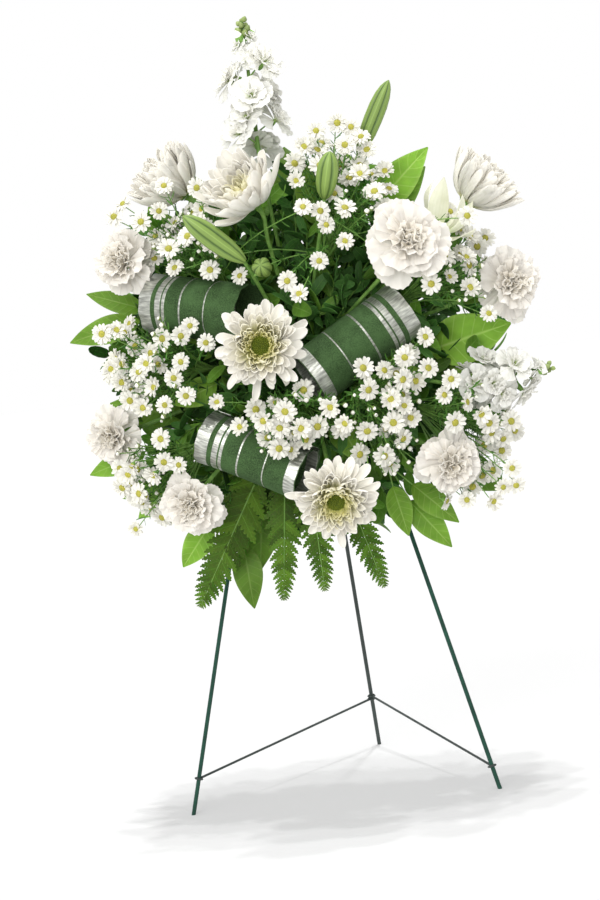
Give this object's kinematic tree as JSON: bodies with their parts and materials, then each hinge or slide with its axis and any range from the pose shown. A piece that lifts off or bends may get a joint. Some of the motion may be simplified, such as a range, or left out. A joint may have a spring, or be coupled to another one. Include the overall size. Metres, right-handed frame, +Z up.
{
  "type": "standing funeral spray",
  "caption": "Standing spray of white mums, carnations, lilies and asters with rolled green ribbon and ferns, on a three-legged wire easel.",
  "frame": {"origin": "centre of the whole object's bounding box, at the floor", "axes": "+Z up, -Y towards the viewer whom the flowers face, +X to the viewer's right"},
  "size_m": [0.5808, 0.5222, 0.9401],
  "materials": {
    "wire": "satin",
    "foam": "matte",
    "tray": "satin",
    "pick": "matte",
    "ribbon": "matte",
    "petal": "matte",
    "stem": "satin",
    "leaf": "satin",
    "fern": "satin",
    "spray": "matte",
    "bud": "satin"
  },
  "bodies": {
    "root": {"leg_front_left": "wire", "leg_front_right": "wire", "leg_back": "wire", "apex_clip": "wire", "brace_left": "wire", "brace_right": "wire", "cross_bar": "wire", "foam_tray": "tray", "foam_block": "foam", "mum_middle_head": "petal", "mum_middle_stem": "stem", "mum_low_head": "petal", "mum_low_stem": "stem", "mum_top_head": "petal", "mum_top_stem": "stem", "mum_right_head": "petal", "mum_right_stem": "stem", "mum_left_head": "petal", "mum_left_stem": "stem", "carnation_upper_left_head": "petal", "carnation_upper_left_stem": "stem", "carnation_left_head": "petal", "carnation_left_stem": "stem", "carnation_low_head": "petal", "carnation_low_stem": "stem", "carnation_upper_right_head": "petal", "carnation_upper_right_stem": "stem", "carnation_right_head": "petal", "carnation_right_stem": "stem", "carnation_lower_right_head": "petal", "carnation_lower_right_stem": "stem", "ribbon_roll_left": "ribbon", "ribbon_roll_left_pick": "pick", "ribbon_roll_right": "ribbon", "ribbon_roll_right_pick": "pick", "ribbon_roll_low": "ribbon", "ribbon_roll_low_pick": "pick", "stock_spike_top": "spray", "stock_spike_right": "spray", "lily_bud_right": "bud", "lily_bud_left": "bud", "lily_bud_top": "bud", "lily_open": "petal", "leafy_stem_top": "leaf", "leafy_stem_left": "leaf", "leafy_stem_right": "leaf", "leafy_stem_low_right": "leaf", "leafy_stem_low_left": "leaf", "fern_low_left": "fern", "fern_low_middle": "fern", "fern_low_front": "fern", "fern_low_right": "fern", "aster_spray_upper_left": "spray", "aster_spray_top": "spray", "aster_spray_upper_right": "spray", "aster_spray_left": "spray", "aster_spray_lower_left": "spray", "aster_spray_middle": "spray", "aster_spray_right": "spray", "aster_spray_lower_right": "spray"}
  },
  "joints": []
}
